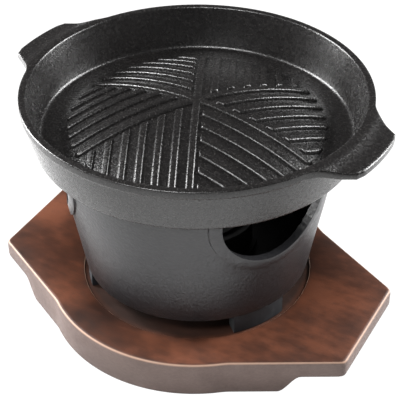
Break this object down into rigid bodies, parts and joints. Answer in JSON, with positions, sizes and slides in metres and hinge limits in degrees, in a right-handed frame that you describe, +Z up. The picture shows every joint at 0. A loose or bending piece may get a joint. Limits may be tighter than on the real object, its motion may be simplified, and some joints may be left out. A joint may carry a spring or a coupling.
{
  "type": "tabletop hibachi grill",
  "caption": "One-person tabletop hibachi: ribbed domed grill pan with side lips on a windowed cast stove, fuel cup with shutter inside, on an eared wooden board.",
  "frame": {"origin": "centre of the board's underside, on the axis of the stove and the pan", "axes": "+Z up, +X along the board's ears, +Y across them"},
  "size_m": [0.2236, 0.19, 0.1425],
  "materials": {
    "stained_wood": "dark brown stain, satin varnish",
    "stove_coating": "matt black heat-proof paint on the casting",
    "pan_coating": "black non-stick coating with fine sparkle",
    "shoe_rubber": "plain black",
    "cup_steel": "matt heat-proof black on drawn sheet",
    "shutter_steel": "matt heat-proof black on flat sheet",
    "rivet_steel": "bright",
    "knob_plastic": "moulded, heat proof"
  },
  "bodies": {
    "board": {"wood_board": "stained_wood"},
    "stove": {"stove_body": "stove_coating", "foot_shoe_front": "shoe_rubber", "foot_shoe_rear": "shoe_rubber", "foot_shoe_left": "shoe_rubber"},
    "pan": {"grill_pan": "pan_coating"},
    "cup": {"fuel_cup": "cup_steel"},
    "cover": {"burner_cover": "cup_steel", "shutter_rivet": "rivet_steel"},
    "shutter": {"shutter_disc": "shutter_steel", "shutter_lever": "shutter_steel", "lever_knob": "knob_plastic"}
  },
  "joints": [
    {"name": "stove_lift", "type": "slide", "parent": "board", "child": "stove", "axis": [0, 0, 1], "range_m": [0, 0.04]},
    {"name": "pan_lift", "type": "slide", "parent": "stove", "child": "pan", "axis": [0, 0, 1], "range_m": [0, 0.08]},
    {"name": "cup_lift", "type": "slide", "parent": "stove", "child": "cup", "axis": [0, 0, 1], "range_m": [0, 0.02]},
    {"name": "cover_lift", "type": "slide", "parent": "cup", "child": "cover", "axis": [0, 0, 1], "range_m": [0, 0.02]},
    {"name": "shutter_turn", "type": "hinge", "parent": "cover", "child": "shutter", "pos_m": [0, 0, 0.063], "axis": [0, 0, 1], "range_deg": [0, 60]}
  ],
  "couplings": [
    {"joint": "cup_lift", "follows": "pan_lift", "ratio": 0.25},
    {"joint": "cover_lift", "follows": "pan_lift", "ratio": 0.25}
  ]
}
